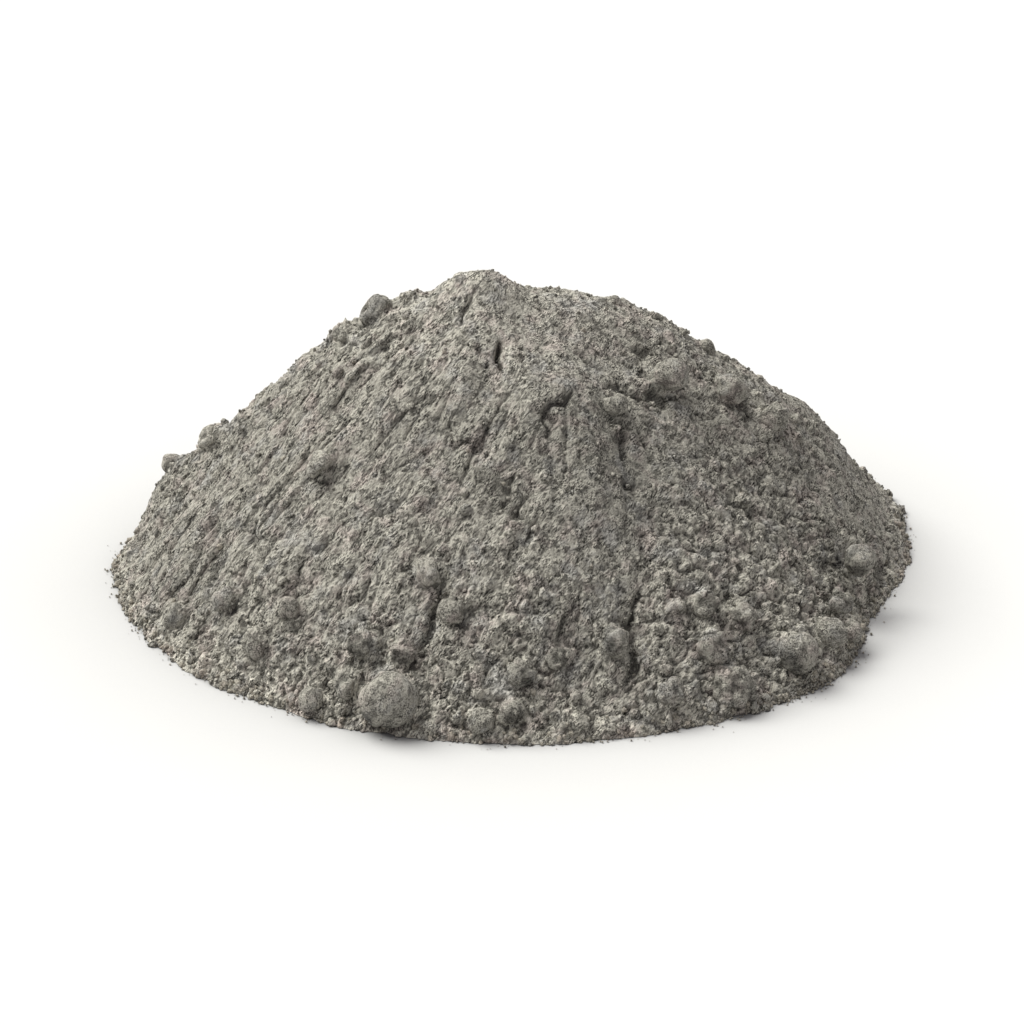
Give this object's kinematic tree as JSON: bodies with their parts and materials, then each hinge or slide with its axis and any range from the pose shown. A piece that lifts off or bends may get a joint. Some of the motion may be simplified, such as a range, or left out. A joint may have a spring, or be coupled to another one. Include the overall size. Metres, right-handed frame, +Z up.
{
  "type": "heap of skim coat powder",
  "caption": "Low cone-shaped heap of loose grey skim coat powder at rest on a level floor, with caked balls and lumps lying half sunk in its slopes.",
  "frame": {"origin": "on the floor, under the middle of the heap from left to right", "axes": "+X to the heap's right, -Y to its front, where the largest ball lies, +Z up"},
  "size_m": [0.2474, 0.2285, 0.0972],
  "materials": {
    "loose_powder": "matte",
    "caked_lump": "matte",
    "caked_ball": "matte"
  },
  "bodies": {
    "root": {"powder_heap": "loose_powder", "front_ball": "caked_ball", "left_edge_ball": "caked_ball", "ledge_ball": "caked_ball", "right_flank_ball": "caked_ball", "right_toe_ball": "caked_ball", "right_toe_second_ball": "caked_ball", "right_toe_small_ball": "caked_ball", "front_left_ball": "caked_ball", "front_right_lump": "caked_lump", "front_right_small_lump": "caked_lump", "front_right_upper_lump": "caked_lump", "right_pair_left_lump": "caked_lump", "right_pair_right_lump": "caked_lump", "right_flank_lower_lump": "caked_lump", "gully_edge_lump": "caked_lump", "ledge_block": "caked_lump", "ledge_end_lump": "caked_lump", "ledge_small_lump": "caked_lump", "skyline_right_lump": "caked_lump", "skyline_far_lump": "caked_lump", "skyline_small_lump": "caked_lump", "top_left_lump": "caked_lump", "top_left_small_lump": "caked_lump", "top_left_lower_lump": "caked_lump", "left_ridge_lump": "caked_lump", "left_ridge_small_lump": "caked_lump", "left_middle_lump": "caked_lump", "left_low_lump": "caked_lump", "left_toe_lump": "caked_lump", "left_front_lump": "caked_lump", "left_front_upper_lump": "caked_lump", "beside_front_ball_lump": "caked_lump", "above_front_ball_left_lump": "caked_lump", "above_front_ball_right_lump": "caked_lump", "front_middle_upper_lump": "caked_lump", "front_middle_lower_lump": "caked_lump", "front_centre_upper_lump": "caked_lump", "front_centre_lump": "caked_lump", "front_centre_left_lump": "caked_lump", "front_bulge_lump": "caked_lump"}
  },
  "joints": []
}
